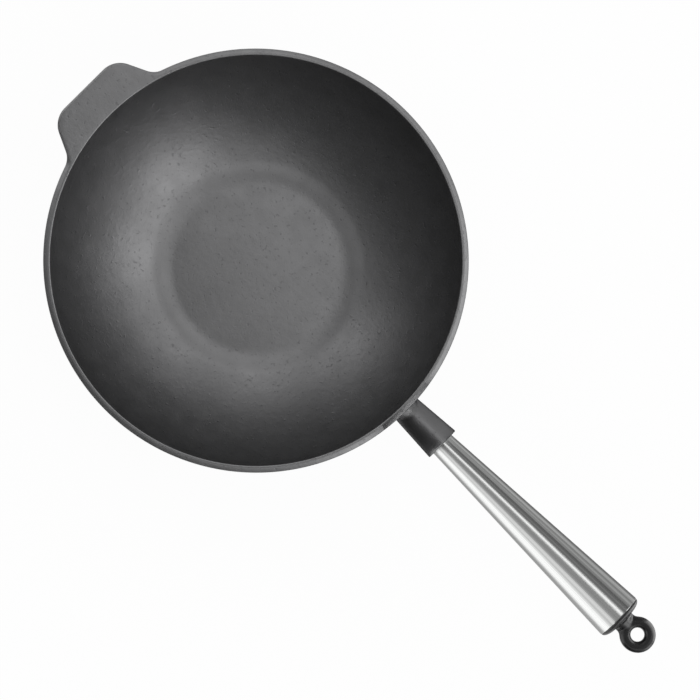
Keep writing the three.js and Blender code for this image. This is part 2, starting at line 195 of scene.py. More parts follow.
# %% Axis of the handle
MM = 0.001
RIM_RADIUS = 150 * MM
eye_turn = next(joint for joint in frame["joints"] if joint["name"] == "eye_turn")
AXIS = Vector(eye_turn["axis"]).normalized()
EYE_SEAT_PLACE = Vector(eye_turn["pos_m"])
EYE_SEAT = (EYE_SEAT_PLACE.x - RIM_RADIUS) / AXIS.x
AXIS_START = EYE_SEAT_PLACE - AXIS * EYE_SEAT
HANDLE_RISE = math.asin(AXIS.z)
print(f"handle rises {math.degrees(HANDLE_RISE):.2f} degrees, eye's seat at {EYE_SEAT / MM:.2f} mm")

# %% [markdown]
# ## Cards beside the handle
# Polished steel shows everything round it, so it is lit with cards rather than lamps, as a photographer
# would do. A white card lies close along one side and gives the broad white band. A grey card on the
# other side keeps that side dark, a dim one above fills the gap beside the bright line, and one under the
# handle keeps its edges from melting into the white paper. Small cards do the same for the ends: a dark
# one and a grey one at the sides of the iron socket, a dim one over the eye and a bright one past it.
# Each card is graded across its width by a Color Ramp. The cards are small and close, so the bowl hardly
# sees them, and only mirror rays see them at all.

# %% Cards
STEEL_SPAN = (33 * MM, 220 * MM)
SOCKET_SPAN = (-4 * MM, 35 * MM)
EYE_SPAN = (213 * MM, 248 * MM)
END_SPAN = (224 * MM, 320 * MM)
LEAN_TO_HANDLE = Matrix.Rotation(-HANDLE_RISE, 4, "Y")


def mirror_card(name, span, turn, distance, width, brightest, shades):
    """A card along the handle, turned about it from straight above, with shades in the order of that turn."""
    across, up = distance * math.sin(turn), distance * math.cos(turn)
    place = AXIS_START + AXIS * (span[0] + span[1]) / 2 + Vector((-AXIS.z * up, across, AXIS.x * up))
    tilt = (LEAN_TO_HANDLE @ Matrix.Rotation(-turn, 4, "X")).to_euler()
    bpy.ops.mesh.primitive_plane_add(size=1.0, location=place, rotation=tilt)
    card = bpy.context.object
    card.name = name
    card.scale = (span[1] - span[0], width, 1.0)
    bpy.ops.object.transform_apply(location=True, rotation=True, scale=True)
    card.visible_camera = False
    card.visible_diffuse = False
    card.visible_shadow = False
    face, nodes, links = bare_tree(name)
    sheet = nodes.new("ShaderNodeTexCoord")
    split = nodes.new("ShaderNodeSeparateXYZ")
    links.new(sheet.outputs["UV"], split.inputs[0])
    ramp = nodes.new("ShaderNodeValToRGB")
    ramp.color_ramp.interpolation = "EASE"
    for _ in shades[2:]:
        ramp.color_ramp.elements.new(0.5)
    for element, (at, shade) in zip(ramp.color_ramp.elements, shades):
        element.position = at
        element.color = (shade, shade, shade, 1.0)
    links.new(split.outputs["Y"], ramp.inputs["Fac"])
    shine = nodes.new("ShaderNodeEmission")
    shine.inputs["Strength"].default_value = brightest
    links.new(ramp.outputs["Color"], shine.inputs["Color"])
    card_out = nodes.new("ShaderNodeOutputMaterial")
    links.new(shine.outputs[0], card_out.inputs["Surface"])
    card.data.materials.append(face)


WHITE_SHADES = [(0.0, 0.26), (0.26, 0.4), (0.47, 0.95), (0.6, 1.0), (0.75, 0.57), (0.89, 0.6), (1.0, 0.35)]
GREY_SHADES = [
    (0.0, 0.45), (0.2, 0.28), (0.32, 0.17), (0.44, 0.65), (0.54, 0.4), (0.67, 1.0), (0.85, 0.5), (1.0, 0.25),
]
UNDER_SHADES = [(0.0, 0.8), (0.35, 0.4), (0.6, 1.0), (1.0, 1.0)]
DARK_SHADES = [(0.0, 1.0), (0.15, 0.3), (0.8, 0.3), (1.0, 1.0)]
EVEN_SHADES = [(0.0, 1.0), (1.0, 1.0)]
END_SHADES = [(0.0, 0.3), (0.35, 0.8), (0.6, 1.0), (1.0, 0.7)]
CARDS = [
    ("white_card", STEEL_SPAN, -75, 40, 96, 1.8, WHITE_SHADES),
    ("grey_card", STEEL_SPAN, 70, 40, 100, 0.75, GREY_SHADES),
    ("top_card", STEEL_SPAN, -9.5, 60, 28, 0.38, EVEN_SHADES),
    ("under_card", STEEL_SPAN, 180, 45, 260, 0.5, UNDER_SHADES),
    ("dark_card", SOCKET_SPAN, -56, 27, 96, 0.15, DARK_SHADES),
    ("socket_card", SOCKET_SPAN, 62, 27, 60, 0.55, EVEN_SHADES),
    ("eye_card", EYE_SPAN, 0, 45, 60, 0.25, EVEN_SHADES),
    ("end_card", END_SPAN, 75, 34, 60, 4.5, END_SHADES),
]
for name, span, turn, distance, width, brightest, shades in CARDS:
    mirror_card(name, span, math.radians(turn), distance * MM, width * MM, brightest, shades)
print(len(CARDS), "cards along the handle")

# %% [markdown]
# ## Drawing and spinning
# Most pieces of a pan are turned on a lathe or cast in a turned mould, so they start as half an outline
# that is spun round an axis. The outline could be a curve with a Screw modifier. A mesh outline that is
# extruded vertex by vertex and then spun keeps every ring where the drawing says, which the later shaping
# needs.

# %% Outlines
def arc(middle, start, end, steps):
    """Points on the shorter arc between two points that lie equally far from its middle."""
    first = math.atan2(start[1] - middle[1], start[0] - middle[0])
    sweep = math.atan2(end[1] - middle[1], end[0] - middle[0]) - first
    sweep = math.atan2(math.sin(sweep), math.cos(sweep))
    radius = math.dist(start, middle)
    turns = [first + sweep * step / steps for step in range(steps + 1)]
    return [(middle[0] + radius * math.cos(a), middle[1] + radius * math.sin(a)) for a in turns]


def toward(start, end, distance):
    """The point at a distance from one point towards another."""
    share = distance / math.dist(start, end)
    return (start[0] + (end[0] - start[0]) * share, start[1] + (end[1] - start[1]) * share)


def rounded(before, corner, after, radius, steps):
    """A corner of an outline, rounded."""
    back = (Vector(before) - Vector(corner)).normalized()
    on = (Vector(after) - Vector(corner)).normalized()
    half = math.acos(max(-1.0, min(1.0, back.dot(on)))) / 2
    bisector = Vector(corner) + back + on
    middle = toward(corner, bisector, radius / math.sin(half))
    reach = radius / math.tan(half)
    return arc(middle, toward(corner, before, reach), toward(corner, after, reach), steps)


def straight(start, end, steps):
    """Points between two points, both left out."""
    shares = [step / steps for step in range(1, steps)]
    return [(start[0] + (end[0] - start[0]) * f, start[1] + (end[1] - start[1]) * f) for f in shares]


print("outline helpers ready")

# %% Spinning
def draw_outline(name, places):
    """A new mesh with one line: a plane merged to a single vertex, then extruded from place to place."""
    bpy.ops.object.select_all(action="DESELECT")
    bpy.ops.mesh.primitive_plane_add(size=1.0)
    bpy.context.object.name = name
    bpy.ops.object.mode_set(mode="EDIT")
    bpy.ops.mesh.select_mode(type="VERT")
    bpy.ops.mesh.merge(type="CENTER")
    bpy.ops.transform.translate(value=places[0])
    for here, there in zip(places, places[1:]):
        step = Vector(there) - Vector(here)
        bpy.ops.mesh.extrude_vertices_move(TRANSFORM_OT_translate={"value": step})
    return bpy.context.object


def end_edit():
    """Turns all faces of the mesh outwards and leaves edit mode."""
    bpy.ops.mesh.select_all(action="SELECT")
    bpy.ops.mesh.normals_make_consistent(inside=False)
    bpy.ops.object.mode_set(mode="OBJECT")


def spin_outline(axis, steps):
    """Spins the outline that is being edited once round an axis through the origin, and closes it."""
    bpy.ops.mesh.select_all(action="SELECT")
    bpy.ops.mesh.spin(steps=steps, angle=2 * math.pi, center=(0, 0, 0), axis=axis)
    bpy.ops.mesh.select_all(action="SELECT")
    bpy.ops.mesh.remove_doubles(threshold=MERGE)
    end_edit()


def spun_along(name, outline, steps):
    """A solid that is spun about X from an outline of (along, radius) points."""
    solid = draw_outline(name, [(along, 0.0, radius) for along, radius in outline])
    spin_outline((1, 0, 0), steps)
    return solid


MERGE = 0.002 * MM
print("merge distance", MERGE / MM, "mm")

# %% [markdown]
# ## The bowl
# The bowl is cast in sand: a flat base, a wall that is part of a sphere, a thick rim with a narrow flat
# top and a slope on its outer half, and inside a slightly domed floor with a soft valley round it. All of
# it is one outline, spun about the upright axis. The rim's outside gets extra rings, because the pull tab
# is drawn out of them in the next step.

# %% Outline of the bowl's outside
BOWL_HEIGHT = 92 * MM
BASE_RADIUS = 64 * MM
BASE_EDGE = 9 * MM
SPHERE_HEIGHT = 147.64 * MM
WALL_RADIUS = 160.914 * MM
WALL = 4.8 * MM
RIM_SLOPE = math.radians(29)
SLOPE_FOOT = 90.05 * MM
SLOPE_FOOT_EDGE = 1 * MM
SLOPE_TOP_EDGE = 1.5 * MM
TAB_THICKNESS = 6.5 * MM
TAB_ROOT = 5 * MM


def on_wall(radius, z):
    """The point of the spherical wall at a height."""
    return (math.sqrt(radius ** 2 - (SPHERE_HEIGHT - z) ** 2), z)


sphere = (0.0, SPHERE_HEIGHT)
slope_foot = on_wall(WALL_RADIUS, SLOPE_FOOT)
slope_top = (slope_foot[0] - (BOWL_HEIGHT - SLOPE_FOOT) / math.tan(RIM_SLOPE), BOWL_HEIGHT)
below_slope = on_wall(WALL_RADIUS, SLOPE_FOOT - 2 * MM)
rim_line = rounded(below_slope, slope_foot, slope_top, SLOPE_FOOT_EDGE, 4)
rim_line += rounded(slope_foot, slope_top, (0.0, BOWL_HEIGHT), SLOPE_TOP_EDGE, 3)
wall_top = rim_line[0]
band_foot = on_wall(WALL_RADIUS, BOWL_HEIGHT - TAB_THICKNESS - TAB_ROOT)
wall_start = on_wall(WALL_RADIUS, 3 * MM)
base_corner = rounded((0.0, 0.0), (BASE_RADIUS, 0.0), wall_start, BASE_EDGE, 6)
outside = [(0.0, 0.0), (BASE_RADIUS * 0.5, 0.0), (BASE_RADIUS - 3 * MM, 0.0)]
outside += base_corner
outside += arc(sphere, wall_start, band_foot, 34)[:-1]
print(f"wall meets the rim's rounding at {wall_top[0] / MM:.2f}, {wall_top[1] / MM:.2f} mm")

# %% Rings of the rim, which the tab is drawn from
ROOT_RINGS, UNDER_RINGS, SIDE_RINGS, TOP_RINGS = 6, 4, 3, 5
EDGE_RINGS = len(rim_line)
plain_rings = ROOT_RINGS + UNDER_RINGS + EDGE_RINGS + SIDE_RINGS
RIM_INNER_EDGE = 0.9 * MM
inner_radius = WALL_RADIUS - WALL
inner_edge_z = BOWL_HEIGHT - RIM_INNER_EDGE
inner_edge_r = math.sqrt((inner_radius + RIM_INNER_EDGE) ** 2 - (SPHERE_HEIGHT - inner_edge_z) ** 2)
RIM_SWELL = 0.6 * MM
SWELL_START = 60 * MM


def swelled(point):
    """A point of the inner wall, moved inward where the wall thickens towards the rim."""
    share = max(0.0, (point[1] - SWELL_START) / (BOWL_HEIGHT - SWELL_START))
    return (point[0] - RIM_SWELL * share ** 2, point[1])


flat_start = swelled((inner_edge_r, BOWL_HEIGHT))
band = arc(sphere, band_foot, wall_top, plain_rings)[:-1]
band += rim_line
band += straight(rim_line[-1], flat_start, TOP_RINGS)
print(len(band), "rings in the rim")

# %% Outline of the bowl's inside
FLOOR = 8.5 * MM
FLOOR_CROWN = 1.9 * MM
FLOOR_FILLET = 36 * MM
floor_edge = on_wall(inner_radius, FLOOR)
crown_radius = (floor_edge[0] ** 2 + FLOOR_CROWN ** 2) / (2 * FLOOR_CROWN)
crown = (0.0, FLOOR + FLOOR_CROWN - crown_radius)
to_crown = crown_radius + FLOOR_FILLET
apart = SPHERE_HEIGHT - crown[1]
valley_up = (to_crown ** 2 - (inner_radius - FLOOR_FILLET) ** 2 + apart ** 2) / (2 * apart)
valley = (math.sqrt(to_crown ** 2 - valley_up ** 2), crown[1] + valley_up)
floor_stop = toward(crown, valley, crown_radius)
wall_foot = toward(sphere, valley, inner_radius)
inner_edge = (inner_edge_r, inner_edge_z)
inner_top = toward(sphere, inner_edge, inner_radius)
inside = arc(inner_edge, (inner_edge_r, BOWL_HEIGHT), inner_top, 5)[:-1]
inside += arc(sphere, inner_top, wall_foot, 40)[:-1]
inside = [swelled(point) for point in inside]
inside += arc(valley, wall_foot, floor_stop, 16)[:-1]
inside += arc(crown, floor_stop, (0.0, FLOOR + FLOOR_CROWN), 14)
print(f"floor is {floor_stop[0] / MM * 2:.1f} mm across")

# %% Spin the bowl
BOWL_STEPS = 400
bowl_outline = outside + band + inside
bowl = draw_outline("wok_casting", [(r, 0.0, z) for r, z in bowl_outline])
spin_outline((0, 0, 1), BOWL_STEPS)
print("bowl:", len(bowl.data.vertices), "vertices")

# %% [markdown]
# ## The pull tab
# The tab is cast on, flush with the top of the rim, with slanting flanks, rounded corners and fillets
# that run into the rim. It could be a second solid joined by a Boolean, but the join would show as a seam
# in the gloss. Here the rings of the rim are drawn out instead: each column of the bowl near the tab is
# pulled to the tab's outline, and the columns are crowded together where the outline needs them.

# %% Outline of the tab
TAB_REACH = 21.3 * MM
TAB_WIDTH = 59.8 * MM
TAB_ROOT_WIDTH = 85.8 * MM
TAB_CORNER = 17 * MM
TAB_FILLET = 14 * MM


def fillet_to_circle(start, along, open_side, circle, radius, steps):
    """A fillet from a straight edge to a circle round the origin, in order from the edge to the circle."""
    offset = Vector(start) + Vector(open_side) * radius
    ahead = offset.dot(Vector(along))
    run = -ahead - math.sqrt(ahead ** 2 - offset.length_squared + (circle + radius) ** 2)
    middle = offset + Vector(along) * run
    on_edge = middle - Vector(open_side) * radius
    on_circle = middle.normalized() * circle
    return arc(tuple(middle), tuple(on_edge), tuple(on_circle), steps)


tab_end = RIM_RADIUS + TAB_REACH
tab_corner = (tab_end, TAB_WIDTH / 2)
root_half = TAB_ROOT_WIDTH / 2
tab_root = (math.sqrt(RIM_RADIUS ** 2 - root_half ** 2), root_half)
flank = (Vector(tab_root) - Vector(tab_corner)).normalized()
flank_open = Vector((flank.y, -flank.x))
tab_half = [(tab_end, 0.0)]
tab_half += rounded((tab_end, 0.0), tab_corner, tab_root, TAB_CORNER, 40)
tab_half += fillet_to_circle(tab_corner, flank, flank_open, RIM_RADIUS, TAB_FILLET, 40)
tab_line = np.array(tab_half)
print(f"fillet ends {math.degrees(math.atan2(*tab_half[-1][::-1])):.2f} degrees from the tab's middle")

# %% Columns: crowd them along the tab's outline
TAB_SHARE = 0.30
step_lengths = np.hypot(*np.diff(tab_line, axis=0).T)
walked = np.concatenate([[0.0], np.cumsum(step_lengths)])
shape = np.array([vertex.co for vertex in bowl.data.vertices])
old_turn = np.arctan2(shape[:, 1], -shape[:, 0])
old_reach = np.hypot(shape[:, 0], shape[:, 1])
part = np.abs(old_turn) / math.pi
along_tab = np.clip(part / TAB_SHARE, 0, 1) * walked[-1]
tab_x = np.interp(along_tab, walked, tab_line[:, 0])
tab_y = np.interp(along_tab, walked, tab_line[:, 1])
tab_turn = np.arctan2(tab_y, tab_x)
last_turn = tab_turn.max()
rest = np.clip((part - TAB_SHARE) / (1 - TAB_SHARE), 0, 1)
even_turn = last_turn + (math.pi - last_turn) * rest
new_turn = np.where(part < TAB_SHARE, tab_turn, even_turn) * np.sign(old_turn)
outline_reach = np.where(part < TAB_SHARE, np.hypot(tab_x, tab_y), RIM_RADIUS)
print(f"{int(TAB_SHARE * BOWL_STEPS)} columns for the tab")

# %% Edge of the tab as each column cuts it
TAB_EDGE = 2.2 * MM
LEAST_SQUARE = 0.45
slope_x = np.gradient(tab_line[:, 0], walked)
slope_y = np.gradient(tab_line[:, 1], walked)
normal_x = np.interp(along_tab, walked, slope_y)
normal_y = np.interp(along_tab, walked, -slope_x)
squareness = np.abs(normal_x * np.cos(tab_turn) + normal_y * np.sin(tab_turn))
squareness = np.where(part < TAB_SHARE, np.clip(squareness, LEAST_SQUARE, 1.0), 1.0)
edge_reach = TAB_EDGE / squareness
print(f"edge rounding is {edge_reach.max() / MM:.2f} mm long where a column cuts a flank")

# %% Vertices that are drawn out
TAB_BLEND = 3.5 * MM
under_z = BOWL_HEIGHT - TAB_THICKNESS
under_r = on_wall(WALL_RADIUS, under_z)[0]
ring_line = np.array(bowl_outline)
far_across = np.abs(old_reach[:, None] - ring_line[None, :, 0])
far_up = np.abs(shape[:, 2][:, None] - ring_line[None, :, 1])
ring_of = np.argmin(far_across + far_up, axis=1)
band_ring = ring_of - len(outside)
in_band = (band_ring >= 0) & (band_ring < len(band)) & (outline_reach > RIM_RADIUS)
weight = np.clip((outline_reach - RIM_RADIUS) / TAB_BLEND, 0, 1)
weight = weight * weight * (3 - 2 * weight)
print("vertices drawn out:", int(in_band.sum()))

# %% Draw the tab out of the rim
edge_start = np.maximum(outline_reach - edge_reach, under_r)
root_room = np.minimum(TAB_ROOT, 0.6 * (edge_start - under_r))


def tab_place(ring, which):
    """Distance from the bowl's axis and height of a ring of the tab, for the vertices that are asked for."""
    edge, reach = edge_start[which], outline_reach[which] - edge_start[which]
    room = root_room[which]
    if ring < ROOT_RINGS:
        f = ring / ROOT_RINGS
        r = band_foot[0] * (1 - f) ** 2 + under_r * 2 * f * (1 - f) + (under_r + room) * f ** 2
        return r, np.full_like(r, band_foot[1] * (1 - f) ** 2 + under_z * (1 - (1 - f) ** 2))
    ring -= ROOT_RINGS
    if ring < UNDER_RINGS:
        f = ring / UNDER_RINGS
        return (under_r + room) * (1 - f) + edge * f, np.full_like(edge, under_z)
    ring -= UNDER_RINGS
    if ring < EDGE_RINGS:
        turn = math.pi / 2 * ring / (EDGE_RINGS - 1)
        z = under_z + TAB_EDGE * (1 - math.cos(turn))
        return edge + reach * math.sin(turn), np.full_like(edge, z)
    ring -= EDGE_RINGS
    side = TAB_THICKNESS - 2 * TAB_EDGE
    if ring < SIDE_RINGS:
        z = under_z + TAB_EDGE + side * (ring + 1) / (SIDE_RINGS + 1)
        return edge + reach, np.full_like(edge, z)
    ring -= SIDE_RINGS
    if ring < EDGE_RINGS:
        turn = math.pi / 2 * ring / (EDGE_RINGS - 1)
        z = BOWL_HEIGHT - TAB_EDGE * (1 - math.sin(turn))
        return edge + reach * math.cos(turn), np.full_like(edge, z)
    f = (ring - EDGE_RINGS + 1) / TOP_RINGS
    return edge * (1 - f) + flat_start[0] * f, np.full_like(edge, BOWL_HEIGHT)


reach_now = old_reach.copy()
height_now = shape[:, 2].copy()
for ring in range(len(band)):
    which = np.flatnonzero(in_band & (band_ring == ring))
    r, z = tab_place(ring, which)
    if ring >= plain_rings:
        past_edge = max(0, ring - plain_rings - EDGE_RINGS + 1) / TOP_RINGS
        reach_now[which] += (outline_reach[which] - RIM_RADIUS) * (1 - past_edge)
    reach_now[which] += (r - reach_now[which]) * weight[which]
    height_now[which] += (z - height_now[which]) * weight[which]
shape = np.column_stack([-reach_now * np.cos(new_turn), reach_now * np.sin(new_turn), height_now])
bowl.data.vertices.foreach_set("co", shape.ravel())
bowl.data.update()
print(f"tab reaches {shape[:, 0].min() / MM:.2f} mm")

# %% [markdown]
# ## The socket
# The socket grows out of the wall under the rim, widens outwards a little and is bored for the handle's
# nose. Its root runs up to the rim in a long slope on top, and in a shorter one at the sides. It is spun
# on its own axis, leaned at its root to lie against the curved wall, moved to the handle's axis, and then
# joined to the bowl with a Boolean, because here the wall has to be opened.

# %% Outline of the socket
SOCKET_LENGTH = 35.6 * MM
SOCKET_ROOT_RADIUS = 10.6 * MM
SOCKET_MOUTH_RADIUS = 13.2 * MM
SOCKET_FLARE = 3.8 * MM
FLARE_LENGTH = 9 * MM
FLARE_PULL = 0.67
SOCKET_LIP = 0.7 * MM
MOUTH_CHAMFER = 0.6 * MM
WALL_SINK = 2 * MM
NOSE_RADIUS = 9.2 * MM
NOSE_DEPTH = 15 * MM
CLEARANCE = 0.3 * MM
ROD_RADIUS = 3 * MM
ROD_GRIP = 12 * MM


def wall_at(across, up):
    """Where a line beside the handle's axis, so far across and so far up from it, leaves the bowl."""
    along = 0.0
    for _ in range(8):
        z = AXIS_START.z + along * AXIS.z + up * AXIS.x
        if z < SLOPE_FOOT:
            reach = on_wall(WALL_RADIUS, z)[0]
        else:
            reach = slope_foot[0] - (z - SLOPE_FOOT) / math.tan(RIM_SLOPE)
        along = (math.sqrt(reach ** 2 - across ** 2) - AXIS_START.x + up * AXIS.z) / AXIS.x
    return along


root_at = wall_at(0.0, 0.0)
print(f"axis leaves the wall at {root_at / MM:.2f} mm")

# %% Spin the socket
HANDLE_STEPS = 160
flare = SOCKET_ROOT_RADIUS + SOCKET_FLARE
flare_end = root_at + FLARE_LENGTH
flare_pull = root_at + FLARE_PULL * FLARE_LENGTH
flare_line = []
for step in range(13):
    f = step / 12
    along = root_at * (1 - f) ** 2 + flare_pull * 2 * f * (1 - f) + flare_end * f ** 2
    flare_line.append((along, SOCKET_ROOT_RADIUS + SOCKET_FLARE * (1 - f) ** 2))
lip_at = SOCKET_LENGTH - SOCKET_LIP
lip = (lip_at, SOCKET_MOUTH_RADIUS - SOCKET_LIP)
seat = SOCKET_LENGTH - NOSE_DEPTH - CLEARANCE
bore = NOSE_RADIUS + CLEARANCE
hole = ROD_RADIUS + CLEARANCE
socket_outside = [(root_at - WALL_SINK, 0.0), (root_at - WALL_SINK, flare)]
socket_outside += flare_line
socket_outside += straight((flare_end, SOCKET_ROOT_RADIUS), (lip_at, SOCKET_MOUTH_RADIUS), 12)
socket_outside += arc(lip, (lip_at, SOCKET_MOUTH_RADIUS), (SOCKET_LENGTH, lip[1]), 6)
socket_bore = [(SOCKET_LENGTH, bore + MOUTH_CHAMFER), (SOCKET_LENGTH - MOUTH_CHAMFER, bore)]
socket_bore += [(seat, bore), (seat, hole), (seat - ROD_GRIP, hole), (seat - ROD_GRIP, 0.0)]
socket = spun_along("socket", socket_outside + socket_bore, HANDLE_STEPS)
print("socket:", len(socket.data.vertices), "vertices")

# %% Lean the socket's root to the wall
WALL_BITE = 0.06 * MM
SIDE_FLARE = 0.45
for vertex in socket.data.vertices:
    s, y, z = vertex.co
    across = math.hypot(y, z)
    on_outside = across > bore + MOUTH_CHAMFER + 0.1 * MM
    if on_outside or s < root_at:
        near_root = min(1.0, max(0.0, (lip_at - s) / (lip_at - flare_end)))
        shorter = (1 - SIDE_FLARE) * (1 - max(0.0, z / across) ** 2) if across else 0.0
        past_root = max(0.0, min(s, flare_end) - root_at)
        vertex.co.x += (wall_at(y, z) - root_at - WALL_BITE - past_root * shorter) * near_root
socket.data.update()
print(f"root leaned by up to {(wall_at(0.0, flare) - root_at) / MM:.2f} mm")

# %% Join the socket to the bowl
def pick(piece):
    """Makes a piece the active one, and the only one that is selected."""
    bpy.ops.object.select_all(action="DESELECT")
    piece.select_set(True)
    bpy.context.view_layer.objects.active = piece


def place_on_axis(piece):
    """Turns a piece that lies along X up to the handle's axis, moves it to its start and applies both."""
    pick(piece)
    piece.rotation_euler = (0.0, -HANDLE_RISE, 0.0)
    piece.location = AXIS_START
    bpy.ops.object.transform_apply(location=True, rotation=True, scale=True)


def join_solids(piece, other, operation):
    """Joins or cuts a piece with another solid, which is then deleted."""
    pick(piece)
    boolean = piece.modifiers.new("join", "BOOLEAN")
    boolean.operation = operation
    boolean.solver = "EXACT"
    boolean.object = other
    bpy.ops.object.modifier_apply(modifier=boolean.name)
    bpy.data.objects.remove(other)


place_on_axis(socket)
join_solids(bowl, socket, "UNION")
bowl.data.shade_smooth()
pick(bowl)
bpy.ops.object.shade_smooth_by_angle(angle=math.radians(38))
print("casting:", len(bowl.data.vertices), "vertices")

# %% [markdown]
# ## The handle
# The handle is one sheet of steel, drawn into a tapering tube: a parallel nose that is seated in the
# socket, a long straight taper, and a wide end whose edge is turned in a little. Its wall is only 1.2 mm
# thick, so the outline goes up the outside and comes back down the inside, and the spin closes it into a
# tube.

# %% Outline of the handle
SHELL_LENGTH = 173 * MM
SHELL_END_RADIUS = 17.7 * MM
SHELL_WALL = 1.2 * MM
SHELL_ROLL = 2.4 * MM
SHELL_ROLL_TURN = math.radians(16)
shell_end = SOCKET_LENGTH + SHELL_LENGTH
roll_at = shell_end - SHELL_ROLL * math.sin(SHELL_ROLL_TURN)
roll = (roll_at, SHELL_END_RADIUS - SHELL_ROLL)
inner_roll = SHELL_ROLL - SHELL_WALL
nose_end = SOCKET_LENGTH - NOSE_DEPTH


def on_roll(radius):
    """The end of the rolled edge, on an arc of a given radius."""
    return (roll[0] + radius * math.sin(SHELL_ROLL_TURN), roll[1] + radius * math.cos(SHELL_ROLL_TURN))


taper_start = (SOCKET_LENGTH, NOSE_RADIUS)
taper_end = (roll_at, SHELL_END_RADIUS)
inner_start = (SOCKET_LENGTH, NOSE_RADIUS - SHELL_WALL)
inner_end = (roll_at, SHELL_END_RADIUS - SHELL_WALL)
print(f"taper from {NOSE_RADIUS / MM} to {SHELL_END_RADIUS / MM} mm radius over {SHELL_LENGTH / MM} mm")

# %% Spin the handle
NOSE_CHAMFER = 0.3 * MM
shell_outline = [(nose_end, NOSE_RADIUS - SHELL_WALL), (nose_end, NOSE_RADIUS - NOSE_CHAMFER)]
shell_outline += [(nose_end + NOSE_CHAMFER, NOSE_RADIUS), taper_start]
shell_outline += straight(taper_start, taper_end, 30)
shell_outline += arc(roll, taper_end, on_roll(SHELL_ROLL), 10)
shell_outline += arc(roll, on_roll(inner_roll), inner_end, 8)
shell_outline += straight(inner_end, inner_start, 12)
shell_outline += [inner_start, shell_outline[0]]


def turned_piece(name, outline, steps, sharp_angle):
    """A piece that is spun about X, placed on the handle's axis and shaded smooth."""
    piece = spun_along(name, outline, steps)
    place_on_axis(piece)
    bpy.ops.object.shade_smooth_by_angle(angle=math.radians(sharp_angle))
    print(f"{name}: {len(piece.data.vertices)} vertices")
    return piece


handle = turned_piece("handle_tube", shell_outline, HANDLE_STEPS, 30)

# %% [markdown]
# ## The end cap
# A moulded cap closes the wide end. Its hollow plug sits inside the tube, a low dome shows as a black rim
# past the tube's edge, and a counterbore in the middle takes the shank of the hanging eye. It is turned
# like the rest.

# %% Spin the cap
CAP_INSET, CAP_EDGE, CAP_DOME = 0.3 * MM, 0.5 * MM, 3.6 * MM
CAP_FACE_RADIUS = 9.6 * MM
CAP_PLUG_LENGTH, CAP_PLUG_WALL = 14 * MM, 2 * MM
SHANK_LENGTH, SHANK_RADIUS = 5.7 * MM, 6 * MM
SPRING_THICKNESS, SPRING_RADIUS = 1.8 * MM, 5.7 * MM
WASHER_THICKNESS, WASHER_RADIUS = 1.6 * MM, 6 * MM
BORE_EDGE = 0.5 * MM
TOUCH = 0.02 * MM
cap_seat = shell_end + CLEARANCE
flange_at = shell_end + TOUCH
cap_face = EYE_SEAT - CLEARANCE
spring_top = EYE_SEAT - SHANK_LENGTH - CLEARANCE
washer_top = spring_top - SPRING_THICKNESS - CLEARANCE
bore_floor = washer_top - WASHER_THICKNESS - CLEARANCE
plug = on_roll(inner_roll)[1] - CLEARANCE
flange = SHELL_END_RADIUS - CAP_INSET
counterbore = WASHER_RADIUS + CLEARANCE
hub = counterbore + CAP_PLUG_WALL
hub_floor = bore_floor - CAP_PLUG_WALL
dome_turns = [math.pi / 2 * step / 16 for step in range(17)]
dome_width = flange - CAP_FACE_RADIUS
dome_at = cap_seat + CAP_EDGE
plug_floor = cap_seat - CAP_PLUG_WALL
plug_end = cap_seat - CAP_PLUG_LENGTH
plug_inner = plug - CAP_PLUG_WALL
cap_outline = [(hub_floor, hole), (hub_floor, hub), (plug_floor, hub)]
cap_outline += [(plug_floor, plug_inner), (plug_end, plug_inner)]
cap_outline += [(plug_end, plug), (flange_at, plug), (flange_at, flange)]
for turn in dome_turns:
    dome_radius = CAP_FACE_RADIUS + dome_width * math.cos(turn)
    cap_outline.append((dome_at + CAP_DOME * math.sin(turn), dome_radius))
bore_rim = (cap_face, counterbore)
cap_outline += rounded((cap_face, CAP_FACE_RADIUS), bore_rim, (bore_floor, counterbore), BORE_EDGE, 4)
cap_outline += [(bore_floor, counterbore), (bore_floor, hole), cap_outline[0]]
cap = turned_piece("end_cap_dome", cap_outline, HANDLE_STEPS, 35)

# %% [markdown]
# ## The hanging eye
# The eye is a small casting: a ring with a round section, a cone that widens into a collar, and a stub
# that sinks into the cap. The ring is an oval that is spun, and the cone is turned. Between them lies a
# web, whose plan is drawn, filled and extruded. A voxel remesh and some smoothing passes then melt the
# joins into the fillets that a casting has, which bevels on so many crossing edges could not give. The
# join of the cone and the ring gets extra passes. The hole is drawn a little small, because the smoothing
# widens it.

# %% Plan of the eye
EYE_REACH = 13.9 * MM
EYE_RING_RADIUS = 12.75 * MM
EYE_HOLE_RADIUS = 5.15 * MM
EYE_THICKNESS = 8.4 * MM
EYE_WEB = 5 * MM
EYE_FILLET = 4 * MM
COLLAR_RADIUS = 8 * MM
COLLAR_LENGTH = 0.8 * MM
COLLAR_BLEND = 6.7 * MM
neck = (EYE_REACH - COLLAR_LENGTH, COLLAR_RADIUS)
neck_fillet = fillet_to_circle(neck, (-1.0, 0.0), (0.0, 1.0), EYE_RING_RADIUS, EYE_FILLET, 8)
ring_turn = math.atan2(neck_fillet[-1][1], neck_fillet[-1][0])
RING_STEPS = 48
ring_turns = [ring_turn + (math.pi - ring_turn) * 2 * step / RING_STEPS for step in range(1, RING_STEPS)]
eye_plan = [neck] + neck_fillet
eye_plan += [(EYE_RING_RADIUS * math.cos(a), EYE_RING_RADIUS * math.sin(a)) for a in ring_turns]
eye_plan += [(x, -y) for x, y in reversed([neck] + neck_fillet)]
ring_middle = EYE_SEAT + EYE_REACH
eye_places = [(ring_middle - x, -y, -EYE_WEB / 2) for x, y in eye_plan]
eye = draw_outline("hanging_eye_casting", eye_places)
bpy.ops.mesh.select_all(action="SELECT")
bpy.ops.mesh.edge_face_add()
